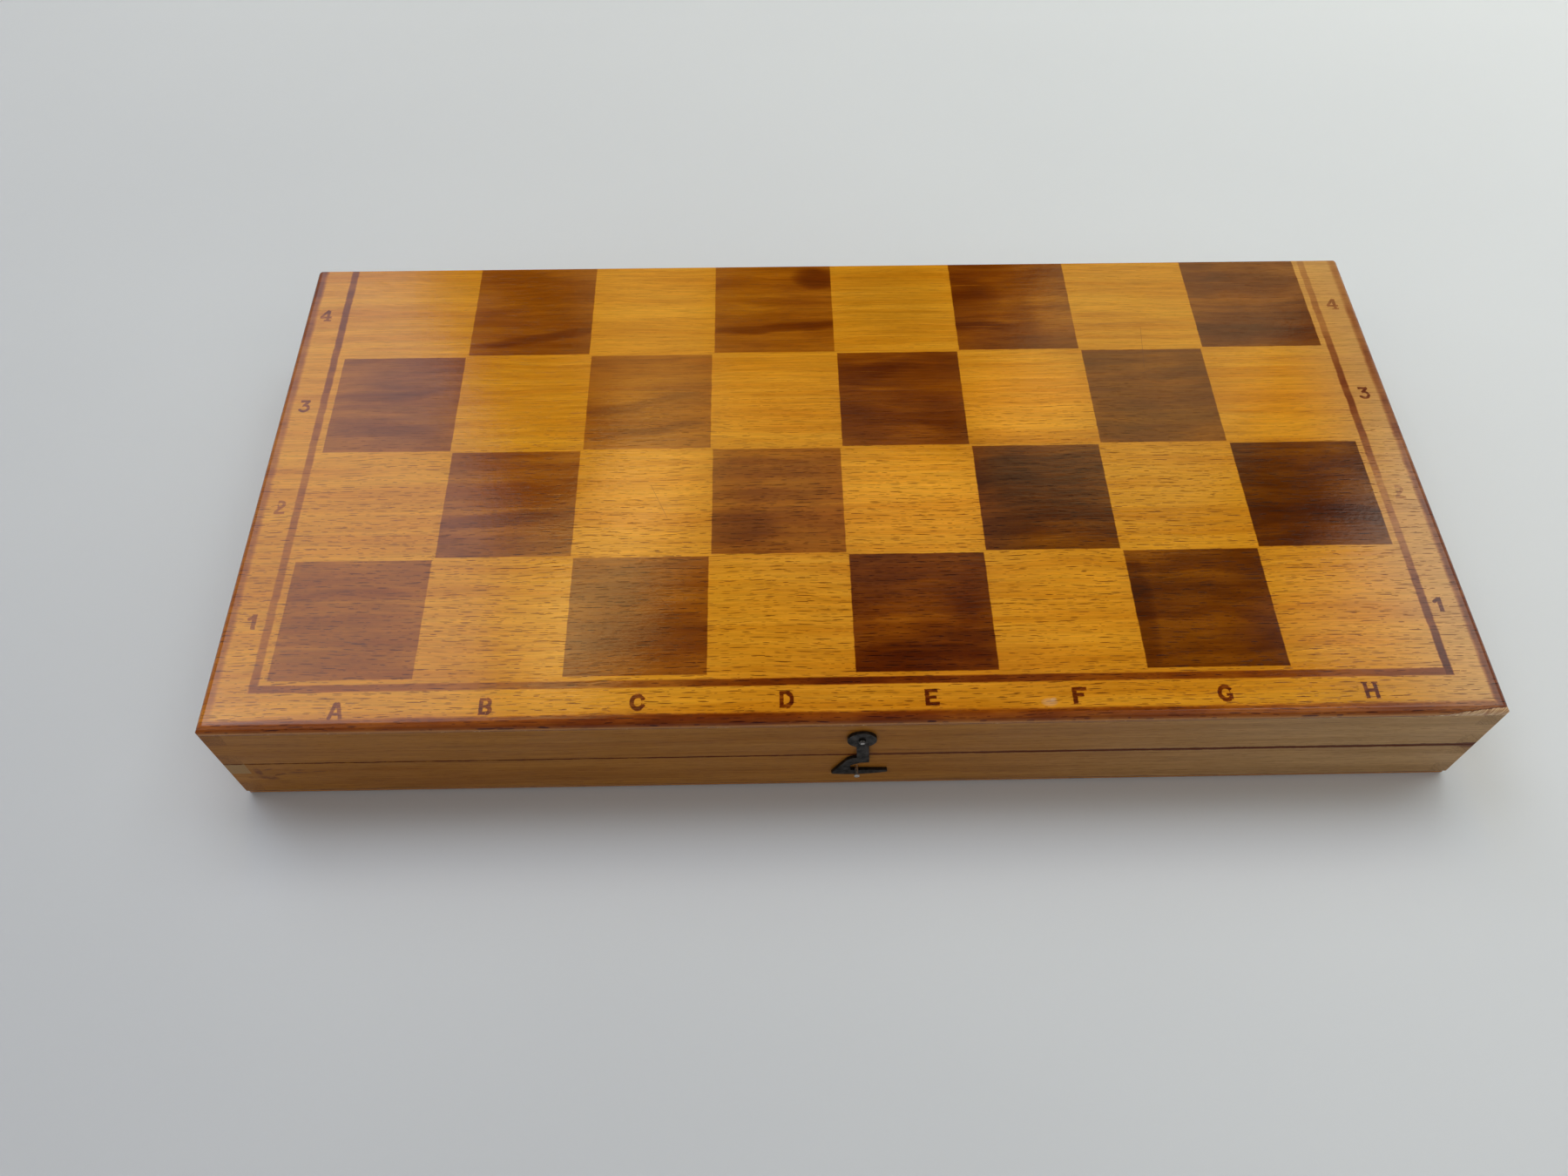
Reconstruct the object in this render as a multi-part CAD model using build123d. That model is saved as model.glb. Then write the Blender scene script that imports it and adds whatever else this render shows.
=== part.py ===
from build123d import *
import os
from math import cos, radians, sin

# Folding chess box: two shallow trays hinged along the back and held shut by a hook in front.
# Each tray is a thin playing panel glued over four finger-jointed rails.
# X runs along the hinges, Y from the latch side to the hinge side, Z up.
# The origin is the middle of the underside. Sizes are in millimetres and degrees.

os.makedirs("parts", exist_ok=True)

# Trays
box_length = 400.0            # along the hinges, one full side of the opened board
box_depth = 199.0             # half of the opened board, less half a saw cut
rail_height = 20.0
rail_thickness = 7.0
panel_thickness = 3.0
seam_gap = 0.4                # between the meeting edges of the closed trays
finger_count = 3              # box-joint fingers in one corner, outer two on the side rails
panel_edge_radius = 2.2       # rounded rim of the panel on its three free sides
front_corner_radius = 0.8     # upright corners beside the latch
back_corner_radius = 1.8      # upright corners beside the hinges
worn_corner_radius = 2.2      # front corners of the lower panel, worn by standing on them

# Butt hinges let into the meeting edges of the back rails
hinge_length = 30.0
hinge_inset = 80.0            # box end to the middle of a hinge
hinge_knuckles = 5            # odd, so that the lower leaf has both outer knuckles
hinge_sheet = 0.9
hinge_pin_radius = 0.8
pin_running_gap = 0.05
knuckle_side_gap = 0.15
leaf_width = 6.4              # pin axis to the far edge of a leaf
leaf_gap = 0.2                # between the two folded leaves
leaf_seat_gap = 0.05          # between a leaf and the bottom of its recess
leaf_recess_margin = 0.15     # recess around the edge of a leaf
axis_setback = 0.25           # pin axis behind the back faces
barrel_clearance = 0.3        # notch in the rails around the knuckles
pin_head_length = 0.5
pin_head_radius = 1.2

# Countersunk screws of the hinges
screws_per_leaf = 2
screw_pitch = 17.0
screw_radius = 0.9
screw_length = 8.0            # under the head
screw_tip_length = 2.0
screw_head_radius = 1.75
screw_head_height = 0.7
screw_hole_gap = 0.05         # around the head and the shank in the leaf
screw_slot_width = 0.4
screw_slot_depth = 0.3

# Hook stamped from sheet steel, hanging on a nail in the upper front rail
pivot_x = 2.1                 # right of the box's middle
pivot_above_seam = 12.1
hook_sheet = 1.0
hook_gap = 0.2                # between the hook and the rails
hook_lean = 3.7               # the latched hook leans this far from upright
hook_head_radius = 4.6
shank_left = 1.8              # left and right edges of the shank from the pivot line
shank_right = 2.1
shank_reach = 15.95           # pivot to the lower end of the shank's right edge
notch_reach = 4.0             # closed end of the notch, left of the pivot line
notch_height = 3.5            # of the notch's closed end
bar_reach = 21.05             # pivot down to the bar's upper edge at the closed end
bar_drop = 1.15               # the upper edge falls this much to its right end
bar_length = 7.5              # right end of the bar from the pivot line
bar_end_height = 1.4
bar_end_bulge = 0.45
bar_height = 3.25             # from its upper edge at the closed end to its lowest point
bar_belly_x = 1.9             # the lowest point, right of the pivot line
heel_foot_reach = 9.8         # foot of the heel, left of the pivot line
heel_foot_rise = 0.85         # above the bar's lowest point
heel_tip_reach = 10.3
heel_tip_rise = 1.6
shoulder_drop = 12.2          # pivot down to where the back of the hook leaves the shank
knee_reach = 5.3              # the back turns into the shoulder here, left of the pivot line
knee_drop = 14.1              # and below the pivot
stamping_corner_radius = 0.3  # corners of the stamped outline

# Nails
hook_nail_radius = 0.75
hook_nail_head_radius = 1.15
hook_nail_head_height = 0.85
hook_head_gap = 0.1           # between the hook and the nail's head
hook_running_gap = 0.05       # between the hook's hole and its nail
catch_nail_radius = 0.55
catch_nail_head_radius = 0.9
catch_nail_head_height = 0.45
catch_nail_stand = 3.9        # how far it stands out of the rail
catch_nail_inset = 1.98       # right of the notch's closed end, along the hook
catch_nail_gap = 0.29         # between the nail and the bar's upper edge
nail_depth = 5.5              # of both nails in the rails
nail_point_length = 1.6
nail_tip_radius = 0.15
nail_hole_gap = 0.02

# Places that follow from the sizes
tray_height = panel_thickness + rail_height
seam_z = tray_height + seam_gap / 2
front_y = -box_depth / 2
back_y = box_depth / 2
axis_y = back_y + axis_setback
barrel_radius = hinge_pin_radius + pin_running_gap + hinge_sheet
leaf_root = barrel_radius + knuckle_side_gap
screw_row = (leaf_root + leaf_width) / 2
leaf_top_z = seam_z - leaf_gap / 2
leaf_bottom_z = leaf_top_z - hinge_sheet
hinge_places = [-box_length / 2 + hinge_inset, box_length / 2 - hinge_inset]
pivot_z = seam_z + pivot_above_seam

# The catch nail stands on the latched hook's bar, which leans with the hook
lean = radians(hook_lean)
bar_slope = bar_drop / (bar_length + notch_reach)
catch_across = catch_nail_inset - notch_reach
catch_along = catch_nail_radius + catch_nail_gap - bar_reach - bar_slope * catch_nail_inset
catch_x = pivot_x + catch_across * cos(lean) - catch_along * sin(lean)
catch_z = pivot_z + catch_across * sin(lean) + catch_along * cos(lean)

same_place = 0.001            # two points nearer than this are one corner
bottom_centre = (Align.CENTER, Align.CENTER, Align.MIN)


def block(x0, x1, y0, y1, z0, z1):
    # box between two corners
    corner_low = (Align.MIN, Align.MIN, Align.MIN)
    return Pos(x0, y0, z0) * Box(x1 - x0, y1 - y0, z1 - z0, align=corner_low)


def rod_x(radius, x0, x1):
    # cylinder along X on the X axis
    along_x = Pos(x0, 0, 0) * Rot(0, 90, 0)
    return along_x * Cylinder(radius, x1 - x0, align=bottom_centre)


def turned_over(shape):
    # the upper tray is the lower one turned over about the seam
    return mirror(shape, Plane.XY.offset(seam_z))


# Trays

def plan_prism(front_radius):
    # upright block with the box's outline in plan, with its own front corner radius
    blank = Box(box_length, box_depth, tray_height, align=bottom_centre)
    uprights = blank.edges().filter_by(Axis.Z)
    blank = fillet(uprights.group_by(Axis.Y)[-1], back_corner_radius)
    uprights = blank.edges().filter_by(Axis.Z).group_by(Axis.Y)[0]
    return fillet(uprights, front_radius)


def panel(front_radius):
    # plan outline, cut to the board's thickness, its outer face rounded on the three free sides
    wide = Box(box_length, box_depth, 2 * panel_thickness, align=bottom_centre)
    side_rims = wide.edges().filter_by(Axis.Y).group_by(Axis.Z)[0]
    across = fillet(side_rims, panel_edge_radius)
    front_rim = wide.edges().filter_by(Axis.X).group_by(Axis.Z)[0].sort_by(Axis.Y)[0]
    along = fillet(front_rim, panel_edge_radius)
    board = plan_prism(front_radius) & across & along
    return board & block(-box_length, box_length, -box_depth, box_depth, 0, panel_thickness)


def finger_slots(first_finger):
    # the corner blocks that a rail gives up to its neighbours' fingers, at both ends of a tray
    finger_height = rail_height / finger_count
    slots = []
    for finger in range(first_finger, finger_count, 2):
        low = panel_thickness + finger * finger_height
        for side in (-1, 1):
            x_outer = side * box_length / 2
            x_inner = side * (box_length / 2 - rail_thickness)
            for end in (-1, 1):
                y_outer = end * box_depth / 2
                y_inner = end * (box_depth / 2 - rail_thickness)
                slots.append(block(min(x_outer, x_inner), max(x_outer, x_inner),
                                   min(y_outer, y_inner), max(y_outer, y_inner),
                                   low, low + finger_height))
    return slots


def long_rail(end):
    # front (-1) or back (+1) rail over the full length; the side rails' outer fingers pass through it
    y_outer = end * box_depth / 2
    y_inner = end * (box_depth / 2 - rail_thickness)
    rail = block(-box_length / 2, box_length / 2, min(y_outer, y_inner), max(y_outer, y_inner),
                 panel_thickness, tray_height)
    rail -= finger_slots(0)
    return rail & plan_prism(front_corner_radius)


def side_rail(side):
    # left (-1) or right (+1) rail over the full depth, with the long rails' middle fingers cut out
    x_outer = side * box_length / 2
    x_inner = side * (box_length / 2 - rail_thickness)
    rail = block(min(x_outer, x_inner), max(x_outer, x_inner), front_y, back_y,
                 panel_thickness, tray_height)
    rail -= finger_slots(1)
    return rail & plan_prism(front_corner_radius)


def front_rail(nail_x, nail_z, nail_radius):
    # front rail, drilled for its nail
    depth = nail_depth + nail_hole_gap
    hole = Cylinder(nail_radius + nail_hole_gap, depth, align=bottom_centre)
    return long_rail(-1) - Pos(nail_x, front_y, nail_z) * Rot(-90, 0, 0) * hole


def back_rail():
    # back rail with a recess, a barrel notch and screw holes for each hinge
    rail = long_rail(1)
    for place in hinge_places:
        rail -= hinge_recess(place)
        for x in screw_places(place):
            pilot_radius = screw_radius + nail_hole_gap
            pilot_bottom = leaf_top_z - screw_head_height - screw_length - screw_hole_gap
            pilot = Cylinder(pilot_radius, screw_length + hinge_sheet, align=bottom_centre)
            rail -= Pos(x, axis_y - screw_row, pilot_bottom) * pilot
    return rail


# Hinges

def hinge_recess(place):
    # shallow recess for the leaf and a round notch for the knuckles and the pin's heads
    half = hinge_length / 2 + leaf_recess_margin
    leaf_far = axis_y - leaf_width - leaf_recess_margin
    seat = block(place - half, place + half, leaf_far, axis_y,
                 leaf_bottom_z - leaf_seat_gap, seam_z)
    notch_half = hinge_length / 2 + pin_head_length + 2 * knuckle_side_gap
    notch = rod_x(barrel_radius + barrel_clearance, place - notch_half, place + notch_half)
    return seat + Pos(0, axis_y, seam_z) * notch


def screw_places(place):
    # X of the screws in one leaf
    first = place - screw_pitch * (screws_per_leaf - 1) / 2
    return [first + screw_pitch * number for number in range(screws_per_leaf)]


def hinge_leaf(place, first_knuckle):
    # sheet leaf rolled round the pin at every other knuckle
    pitch = hinge_length / hinge_knuckles
    start = place - hinge_length / 2
    leaf = block(start, start + hinge_length, -leaf_width, -leaf_root,
                 -leaf_gap / 2 - hinge_sheet, -leaf_gap / 2)
    bore = rod_x(hinge_pin_radius + pin_running_gap, start, start + hinge_length)
    for knuckle in range(first_knuckle, hinge_knuckles, 2):
        low = start + knuckle * pitch + knuckle_side_gap / 2
        high = low + pitch - knuckle_side_gap
        tongue = block(low, high, -leaf_root, 0, -leaf_gap / 2 - hinge_sheet, -leaf_gap / 2)
        leaf += rod_x(barrel_radius, low, high) + tongue
    leaf -= bore
    leaf = Pos(0, axis_y, seam_z) * leaf
    for x in screw_places(place):
        leaf -= Pos(x, axis_y - screw_row, leaf_top_z) * screw_countersink()
    return leaf


def screw_countersink():
    # through hole, cone and short rim around a screw's head, from the leaf's face down
    bore_radius = screw_radius + screw_hole_gap
    rim_radius = screw_head_radius + screw_hole_gap
    drill = Cylinder(bore_radius, 4 * hinge_sheet)
    cone = Cone(bore_radius, rim_radius, screw_head_height, align=bottom_centre)
    rim = Cylinder(rim_radius, 2 * screw_hole_gap)
    return drill + Pos(0, 0, -screw_hole_gap - screw_head_height) * cone + rim


def screw():
    # slotted countersunk screw, head upwards, its face on the leaf's face
    top = -screw_hole_gap
    under_head = top - screw_head_height
    head = Pos(0, 0, under_head) * Cone(screw_radius, screw_head_radius, screw_head_height,
                                        align=bottom_centre)
    shank_length = screw_length - screw_tip_length
    shank = Pos(0, 0, under_head - shank_length) * Cylinder(screw_radius, shank_length,
                                                            align=bottom_centre)
    tip = Pos(0, 0, under_head - screw_length) * Cone(nail_tip_radius, screw_radius,
                                                      screw_tip_length, align=bottom_centre)
    slot = Box(2 * screw_head_radius, screw_slot_width, 2 * screw_slot_depth)
    return head + shank + tip - Pos(0, 0, top) * slot


def hinge_screws():
    # the screws of both hinges' lower leaves
    one = screw()
    places = [x for place in hinge_places for x in screw_places(place)]
    return [Pos(x, axis_y - screw_row, leaf_top_z) * one for x in places]


def hinge_pin(place):
    # pin with a flattened head at each end
    half = hinge_length / 2
    inner = half + knuckle_side_gap
    pin = rod_x(hinge_pin_radius, place - inner, place + inner)
    for end in (-1, 1):
        near = place + end * inner
        far = near + end * pin_head_length
        pin += rod_x(pin_head_radius, min(near, far), max(near, far))
    return Pos(0, axis_y, seam_z) * pin


# Latch

def hook_outline():
    # outline of the stamping with the pivot at the origin and the shank upright
    low_z = -bar_reach - bar_height
    bar_tip_z = -bar_reach - bar_drop
    shank_foot = (shank_right, -shank_reach)
    notch_knee = (-shank_left / 2, -shank_reach)
    notch_top = (-notch_reach, -bar_reach + notch_height)
    notch_foot = (-notch_reach, -bar_reach)
    bar_tip = (bar_length, bar_tip_z)
    bar_nose = (bar_length + bar_end_bulge, bar_tip_z - bar_end_height / 2)
    bar_chin = (bar_length, bar_tip_z - bar_end_height)
    belly = (bar_belly_x, low_z)
    heel_foot = (-heel_foot_reach, low_z + heel_foot_rise)
    heel_tip = (-heel_tip_reach, low_z + heel_tip_rise)
    knee = (-knee_reach, -knee_drop)
    shoulder = (-shank_left, -shoulder_drop)
    back_direction = (heel_tip_reach - knee_reach, -knee_drop - heel_tip[1])
    outline = [
        Polyline((shank_right, 0), shank_foot, notch_knee, notch_top, notch_foot, bar_tip),
        ThreePointArc(bar_tip, bar_nose, bar_chin),
        ThreePointArc(bar_chin, belly, heel_foot),
        Polyline(heel_foot, heel_tip, knee),
        TangentArc(knee, shoulder, tangent=back_direction),
        Polyline(shoulder, (-shank_left, 0), (shank_right, 0)),
    ]
    body = make_face(outline)
    sharp = [shank_foot, notch_top, notch_foot, heel_foot, heel_tip, shoulder]
    body = fillet(vertices_at(body, sharp), stamping_corner_radius)
    body += Circle(hook_head_radius)
    neck = [v for v in body.vertices() if -hook_head_radius < v.Y < -hook_head_radius / 2]
    return fillet(neck, stamping_corner_radius)


def vertices_at(face, points):
    # the face's vertices that lie at the given points
    return [v for v in face.vertices()
            if any(abs(v.X - x) + abs(v.Y - y) < same_place for x, y in points)]


def hook():
    # the outline stood up in the front plane, given its sheet's thickness and its latched lean
    plate = extrude(hook_outline(), hook_sheet)
    plate -= Cylinder(hook_nail_radius + hook_running_gap, 3 * hook_sheet)
    upright = Pos(pivot_x, front_y - hook_gap, pivot_z) * Rot(90, 0, 0)
    return upright * Rot(0, 0, hook_lean) * plate


def nail(radius, head_radius, head_height, stand):
    # round nail along Y: point in the rail, domed head standing out of the front
    point = Cone(nail_tip_radius, radius, nail_point_length, align=bottom_centre)
    straight = nail_depth - nail_point_length + stand - head_height
    shank = Pos(0, 0, nail_point_length) * Cylinder(radius, straight, align=bottom_centre)
    head = Cylinder(head_radius, head_height, align=bottom_centre)
    rim = head.edges().group_by(Axis.Z)[-1]
    head = fillet(rim, min(head_height, head_radius) / 2)
    shape = point + shank + Pos(0, 0, nail_point_length + straight) * head
    return Rot(90, 0, 0) * Pos(0, 0, -nail_depth) * shape


def hook_nail():
    # pivot of the hook, its head just clear of the plate
    stand = hook_gap + hook_sheet + hook_head_gap + hook_nail_head_height
    shape = nail(hook_nail_radius, hook_nail_head_radius, hook_nail_head_height, stand)
    return Pos(pivot_x, front_y, pivot_z) * shape


def catch_nail():
    # nail that the hook's bar swings under
    shape = nail(catch_nail_radius, catch_nail_head_radius, catch_nail_head_height,
                 catch_nail_stand)
    return Pos(catch_x, front_y, catch_z) * shape


def write(name, shape):
    export_step(shape, f"parts/{name}.step")


# Lower tray
write("lower_panel", panel(worn_corner_radius))
write("lower_front_rail", front_rail(catch_x, catch_z, catch_nail_radius))
write("lower_back_rail", back_rail())
write("lower_left_rail", side_rail(-1))
write("lower_right_rail", side_rail(1))
write("lower_hinge_screws", Compound(hinge_screws()))
write("catch_nail", catch_nail())

# Upper tray; its front rail is drilled where the turned-over rail meets the hook's nail
write("upper_panel", turned_over(panel(front_corner_radius)))
pivot_z_turned = 2 * seam_z - pivot_z
write("upper_front_rail",
      turned_over(front_rail(pivot_x, pivot_z_turned, hook_nail_radius)))
write("upper_back_rail", turned_over(back_rail()))
write("upper_left_rail", turned_over(side_rail(-1)))
write("upper_right_rail", turned_over(side_rail(1)))
write("upper_hinge_screws", Compound([turned_over(one) for one in hinge_screws()]))
write("hook_nail", hook_nail())

# Hinges: the lower leaf keeps the outer knuckles, the upper leaf the ones between
for side_name, place in zip(("left", "right"), hinge_places):
    write(f"{side_name}_hinge_lower_leaf", hinge_leaf(place, 0))
    write(f"{side_name}_hinge_upper_leaf", turned_over(hinge_leaf(place, 1)))
    write(f"{side_name}_hinge_pin", hinge_pin(place))

write("hook", hook())
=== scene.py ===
import math
import bpy
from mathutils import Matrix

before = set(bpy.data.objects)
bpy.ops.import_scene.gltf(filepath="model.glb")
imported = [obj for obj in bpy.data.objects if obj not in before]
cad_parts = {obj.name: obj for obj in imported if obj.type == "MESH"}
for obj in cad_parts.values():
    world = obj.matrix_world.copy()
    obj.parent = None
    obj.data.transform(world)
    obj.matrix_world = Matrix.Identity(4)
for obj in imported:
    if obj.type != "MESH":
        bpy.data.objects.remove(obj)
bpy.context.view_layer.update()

# The box in the CAD, in millimetres: half its length and depth, its height, the middle of the seam between
# the trays, the inner faces of the rails, and the thickness of a panel
box = {
    "halfLength": 200.0, "halfDepth": 99.5, "height": 46.4, "seam": 23.2,
    "wallX": 193.0, "wallY": 92.5, "panel": 3.0,
}


# Node helpers. A tree is a material's or a group's node tree, a place is a vector in millimetres
def feed(tree, socket, value):
    # links an output to the socket, or writes a constant on it
    if isinstance(value, bpy.types.NodeSocket):
        tree.links.new(value, socket)
    else:
        socket.default_value = value


def feedAll(tree, sockets, values):
    for socket, value in zip(sockets, values):
        feed(tree, socket, value)


def feedNamed(tree, node, **values):
    # by the names of the inputs, their spaces written as _
    for name, value in values.items():
        feed(tree, node.inputs[name.replace("_", " ")], value)


def maths(tree, operation, *values, clamp=False):
    node = tree.nodes.new("ShaderNodeMath")
    node.operation = operation
    node.use_clamp = clamp
    feedAll(tree, node.inputs, values)
    return node.outputs[0]


def plus(tree, a, b, clamp=False):
    return maths(tree, "ADD", a, b, clamp=clamp)


def less(tree, a, b):
    return maths(tree, "SUBTRACT", a, b)


def times(tree, a, b, clamp=False):
    return maths(tree, "MULTIPLY", a, b, clamp=clamp)


def ratio(tree, a, b):
    return maths(tree, "DIVIDE", a, b)


def lower(tree, a, b):
    return maths(tree, "MINIMUM", a, b)


def higher(tree, a, b):
    return maths(tree, "MAXIMUM", a, b)


def unsigned(tree, a):
    return maths(tree, "ABSOLUTE", a)


def apart(tree, a, b):
    # how far a is from b
    return unsigned(tree, less(tree, a, b))


def timesPlus(tree, a, b, c, clamp=False):
    # a times b, plus c
    return maths(tree, "MULTIPLY_ADD", a, b, c, clamp=clamp)


def weighed(tree, a, weightA, b, weightB, clamp=False):
    # a and b, each times its weight, added up
    return timesPlus(tree, a, weightA, times(tree, b, weightB), clamp)


def reachOf(tree, x, y):
    # the root of x squared plus y squared
    return maths(tree, "SQRT", weighed(tree, x, x, y, y))


def vectors(tree, operation, *values):
    node = tree.nodes.new("ShaderNodeVectorMath")
    node.operation = operation
    feedAll(tree, node.inputs, values)
    return node.outputs["Value" if operation == "DOT_PRODUCT" else "Vector"]


def smooth(tree, value, start, end, least=0.0, most=1.0):
    # from least at start to most at end, level at both, on a smooth step
    node = tree.nodes.new("ShaderNodeMapRange")
    node.interpolation_type = "SMOOTHSTEP"
    feedAll(tree, node.inputs, (value, start, end, least, most))
    return node.outputs[0]


def blend(tree, factor, first, second, how="MIX"):
    # first where the factor is 0, second where it is 1
    node = tree.nodes.new("ShaderNodeMix")
    node.data_type = "RGBA"
    node.blend_type = how
    feedAll(tree, (node.inputs[0], node.inputs[6], node.inputs[7]), (factor, first, second))
    return node.outputs[2]


def noise(tree, at, size, detail=2.0, rough=0.5, shift=0.0):
    # soft noise from 0 to 1 whose lumps are size millimetres along x, y and z
    scaled = tree.nodes.new("ShaderNodeMapping")
    feedNamed(tree, scaled, Vector=at, Location=(shift, shift, shift), Scale=[1 / v for v in size])
    node = tree.nodes.new("ShaderNodeTexNoise")
    feedNamed(tree, node, Vector=scaled.outputs[0], Scale=1.0, Detail=detail, Roughness=rough)
    return node.outputs[0]


def sway(tree, amount, *noiseValues):
    # noise centred on 0: half the amount either way
    return timesPlus(tree, noise(tree, *noiseValues), amount, -amount / 2)


def profile(tree, value, stops, stepped=False):
    # a level that changes with value: straight between the stops (value, level), or held from each stop on
    node = tree.nodes.new("ShaderNodeValToRGB")
    ramp = node.color_ramp
    ramp.interpolation = "CONSTANT" if stepped else "LINEAR"
    start, end = stops[0][0], stops[-1][0]
    most = max(level for _, level in stops)
    for number, (at, level) in enumerate(stops):
        position = (at - start) / (end - start)
        stop = ramp.elements[number] if number < 2 else ramp.elements.new(position)
        stop.position = position
        stop.alpha = level / most
    feed(tree, node.inputs[0], ratio(tree, less(tree, value, start), end - start))
    return times(tree, node.outputs["Alpha"], most)


def split(tree, vector):
    node = tree.nodes.new("ShaderNodeSeparateXYZ")
    feed(tree, node.inputs[0], vector)
    return node.outputs


def joined(tree, x, y, z=0.0):
    node = tree.nodes.new("ShaderNodeCombineXYZ")
    feedAll(tree, node.inputs, (x, y, z))
    return node.outputs[0]


def tinted(tree, red, green, blue):
    node = tree.nodes.new("ShaderNodeCombineColor")
    feedAll(tree, node.inputs, (red, green, blue))
    return node.outputs[0]


def parted(tree, colour):
    node = tree.nodes.new("ShaderNodeSeparateColor")
    feed(tree, node.inputs[0], colour)
    return node.outputs


def shaded(tree, colour, tone):
    # the colour times a tone, which leaves it as it is where it is 1
    return blend(tree, 1.0, colour, tinted(tree, tone, tone, tone), "MULTIPLY")


def newGroup(name, inputs, outputs):
    # an empty shader group: returns its tree, the sockets it takes from and those it gives to
    group = bpy.data.node_groups.new(name, "ShaderNodeTree")
    for label, kind, value in inputs:
        socket = group.interface.new_socket(label, in_out="INPUT", socket_type="NodeSocket" + kind)
        socket.default_value = value
    for label, kind in outputs:
        group.interface.new_socket(label, in_out="OUTPUT", socket_type="NodeSocket" + kind)
    return group, group.nodes.new("NodeGroupInput").outputs, group.nodes.new("NodeGroupOutput").inputs


def place(tree, group, **values):
    # puts a group into a tree and feeds its inputs
    node = tree.nodes.new("ShaderNodeGroup")
    node.node_tree = group
    feedNamed(tree, node, **values)
    return node.outputs


def millimetres(tree):
    # the place on the object, read in metres
    node = tree.nodes.new("ShaderNodeTexCoord")
    return vectors(tree, "MULTIPLY", node.outputs["Object"], (1000.0, 1000.0, 1000.0))


def newMaterial(name, **constants):
    # a material with its Principled shader, and constants on the shader's own sockets
    material = bpy.data.materials.new(name)
    material.use_nodes = True
    tree = material.node_tree
    shader = tree.nodes["Principled BSDF"]
    feedNamed(tree, shader, **constants)
    return material, tree, shader.inputs


def bumped(tree, sockets, height):
    # height in millimetres
    node = tree.nodes.new("ShaderNodeBump")
    feedNamed(tree, node, Distance=0.001, Strength=1.0, Height=height)
    feed(tree, sockets["Normal"], node.outputs[0])


def dress(material, *names):
    # gives the material to CAD nodes
    for name in names:
        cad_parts[name].material_slots[0].material = material


# Beech, in millimetres: how far its streaks wander, the lumps of that and of its streaks, the cells of its
# flecks and how much their length varies, how strong the smaller are, and the heights of grain and flecks
beechLook = {
    "wander": 5.0, "wanderSize": (70, 40, 40), "broad": (170, 11, 11), "medium": (60, 2.6, 2.6),
    "fine": (22, 0.5, 0.5), "cells": [((7.0, 1.7, 1), 1.0), ((3.6, 1.05, 1), 0.5)], "smaller": 0.6,
    "grainHeight": 0.010, "fleckHeight": -0.008,
}


def makeBeech(look):
    # wandering streaks along x, dark ray flecks like short dashes, and the height of its pores
    tree, take, give = newGroup(
        "beech",
        [("Place", "Vector", (0, 0, 0)), ("Fleck Length", "Float", 2.0), ("Fleck Width", "Float", 0.2)],
        [("Tone", "Float"), ("Streak", "Float"), ("Fleck", "Float"), ("Height", "Float")],
    )
    at = take["Place"]
    drift = sway(tree, look["wander"], at, look["wanderSize"])
    wavy = vectors(tree, "ADD", at, joined(tree, 0.0, drift, drift))
    broad = noise(tree, wavy, look["broad"], 3.0, 0.55, 3.1)
    medium = noise(tree, wavy, look["medium"], 2.0, 0.5, 7.7)
    fine = noise(tree, wavy, look["fine"], 2.0, 0.6, 1.9)
    feed(tree, give["Tone"], weighed(tree, broad, 0.55, medium, 0.45))
    feed(tree, give["Streak"], fine)
    # one fleck in each cell of a stretched Voronoi pattern: a thin lens on the cell's own point
    marks = []
    for cell, longer in look["cells"]:
        node = tree.nodes.new("ShaderNodeTexVoronoi")
        node.voronoi_dimensions = "2D"
        cells = vectors(tree, "DIVIDE", wavy, cell)
        feedNamed(tree, node, Scale=1.0, Vector=cells)
        offset = vectors(tree, "SUBTRACT", cells, node.outputs["Position"])
        away = split(tree, vectors(tree, "MULTIPLY", offset, cell))
        chance = parted(tree, node.outputs["Color"])
        length = times(tree, take["Fleck Length"], timesPlus(tree, chance[0], longer, 0.35 * longer))
        along = maths(tree, "POWER", ratio(tree, away[0], length), 2.0)
        across = maths(tree, "POWER", ratio(tree, away[1], take["Fleck Width"]), 2.0)
        lens = smooth(tree, plus(tree, along, across), 1.3, 0.5)
        marks.append(times(tree, lens, smooth(tree, chance[1], 0.15, 0.75, 0.15, 1.0)))
    fleck = higher(tree, marks[0], times(tree, marks[1], look["smaller"]))
    feed(tree, give["Fleck"], fleck)
    feed(tree, give["Height"], weighed(tree, fine, look["grainHeight"], fleck, look["fleckHeight"]))
    return tree


beech = makeBeech(beechLook)


# Glyph pieces: each gives the distance in millimetres to the edge of one stroke, below 0 inside it
def numberGroup(name, names, result):
    # a group that works out one number from X, Y and the numbers named
    inputs = [(label, "Float", 0.0) for label in ("X, Y, " + names).split(", ")]
    return newGroup(name, inputs, [(result, "Float")])


def makeBar():
    # the larger of |x - centre| - half and |y - centre| - half
    tree, take, give = numberGroup("bar", "Centre X, Centre Y, Half X, Half Y", "Distance")
    over = []
    for axis in ("X", "Y"):
        away = apart(tree, take[axis], take["Centre " + axis])
        over.append(less(tree, away, take["Half " + axis]))
    feed(tree, give["Distance"], higher(tree, *over))
    return tree


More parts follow.
